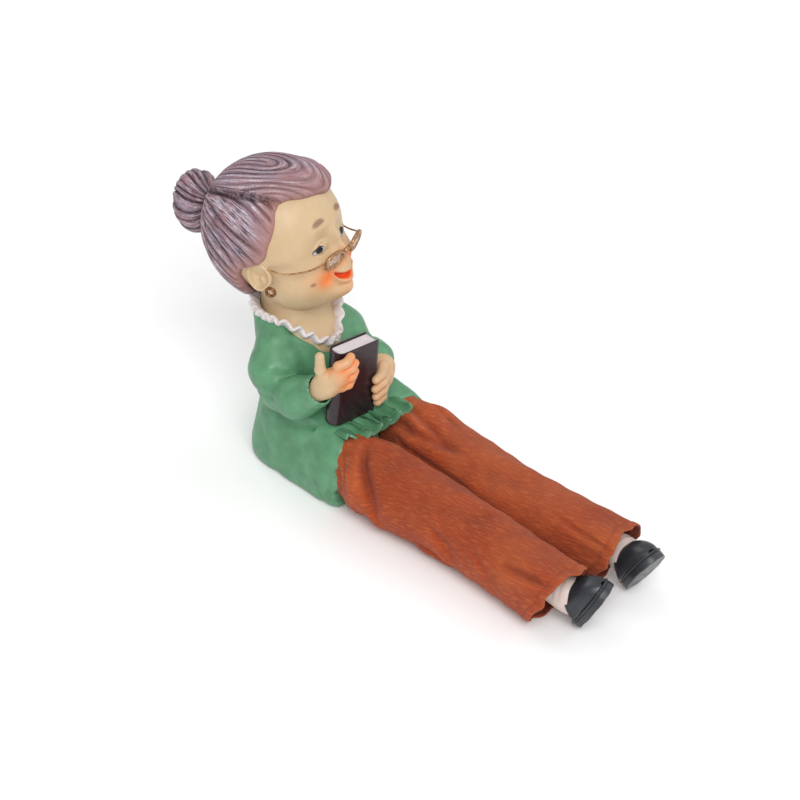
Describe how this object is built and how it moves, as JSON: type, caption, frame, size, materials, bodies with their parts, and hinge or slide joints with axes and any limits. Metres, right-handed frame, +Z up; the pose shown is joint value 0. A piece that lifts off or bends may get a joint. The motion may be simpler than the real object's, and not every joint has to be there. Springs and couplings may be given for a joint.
{
  "type": "seated grandma doll",
  "caption": "Seated grandma doll reading a book: cast upper body with bun, spectacles and frilled blouse, stuffed cloth trouser legs that hang, and cast feet in clogs.",
  "frame": {"origin": "middle of the flat seat under the blouse, on the surface that she sits on", "axes": "-Y the way she faces and her straight legs point, +X to her left, +Z up"},
  "size_m": [0.0654, 0.2256, 0.1271],
  "materials": {
    "skin_paint": "satin hand paint with orange blush",
    "hair_paint": "mauve-grey paint with dark wash in the grooves",
    "blouse_paint": "satin green paint, darker in the creases",
    "collar_paint": "off-white paint",
    "cover_paint": "glossy dark brown paint",
    "page_paint": "off-white paint with page lines",
    "gold_wire": "thin dull gold wire",
    "earring_paint": "brown-gold ring",
    "lens": "thin clear oval",
    "trouser_cloth": "rust-orange fine ribbed cloth",
    "stuffing": "soft white filling",
    "felt": "dark felt",
    "shoe_paint": "black satin paint, scuffed grey under the sole",
    "sock_paint": "off-white paint"
  },
  "bodies": {
    "upper_body": {"seat_pad": "felt", "blouse_body": "blouse_paint", "blouse_hem": "blouse_paint", "neck_and_chest": "skin_paint", "collar_frill": "collar_paint", "right_upper_sleeve": "blouse_paint", "right_lower_sleeve": "blouse_paint", "right_hand": "skin_paint", "left_upper_sleeve": "blouse_paint", "left_lower_sleeve": "blouse_paint", "left_hand": "skin_paint", "book_cover": "cover_paint", "book_pages": "page_paint", "head": "skin_paint", "hair_cap": "hair_paint", "hair_bun": "hair_paint", "spectacle_frame": "gold_wire", "right_ear": "skin_paint", "right_earring": "earring_paint", "right_lens": "lens", "right_temple_wire": "gold_wire", "left_ear": "skin_paint", "left_earring": "earring_paint", "left_lens": "lens", "left_temple_wire": "gold_wire"},
    "right_thigh": {"right_thigh_cloth": "trouser_cloth", "right_thigh_stuffing": "stuffing"},
    "right_shin": {"right_shin_cloth": "trouser_cloth", "right_shin_stuffing": "stuffing"},
    "right_foot": {"right_shoe_sole": "shoe_paint", "right_shoe_upper": "shoe_paint", "right_sock_and_stem": "sock_paint"},
    "left_thigh": {"left_thigh_cloth": "trouser_cloth", "left_thigh_stuffing": "stuffing"},
    "left_shin": {"left_shin_cloth": "trouser_cloth", "left_shin_stuffing": "stuffing"},
    "left_foot": {"left_shoe_sole": "shoe_paint", "left_shoe_upper": "shoe_paint", "left_sock_and_stem": "sock_paint"}
  },
  "joints": [
    {"name": "right_hip", "type": "hinge", "parent": "upper_body", "child": "right_thigh", "pos_m": [-0.015, -0.042, 0.0147], "axis": [1, 0, 0], "range_deg": [-40, 90]},
    {"name": "right_knee", "type": "hinge", "parent": "right_thigh", "child": "right_shin", "pos_m": [-0.0138, -0.09, 0.01422], "axis": [1, 0, 0], "range_deg": [0, 90]},
    {"name": "right_ankle", "type": "hinge", "parent": "right_shin", "child": "right_foot", "pos_m": [-0.0176, -0.1267, 0.0137], "axis": [1, 0, 0], "range_deg": [-4, 18]},
    {"name": "left_hip", "type": "hinge", "parent": "upper_body", "child": "left_thigh", "pos_m": [0.015, -0.042, 0.0147], "axis": [1, 0, 0], "range_deg": [-40, 90]},
    {"name": "left_knee", "type": "hinge", "parent": "left_thigh", "child": "left_shin", "pos_m": [0.0138, -0.09, 0.01422], "axis": [1, 0, 0], "range_deg": [0, 90]},
    {"name": "left_ankle", "type": "hinge", "parent": "left_shin", "child": "left_foot", "pos_m": [0.0215, -0.1267, 0.0137], "axis": [1, 0, 0], "range_deg": [-4, 18]}
  ]
}
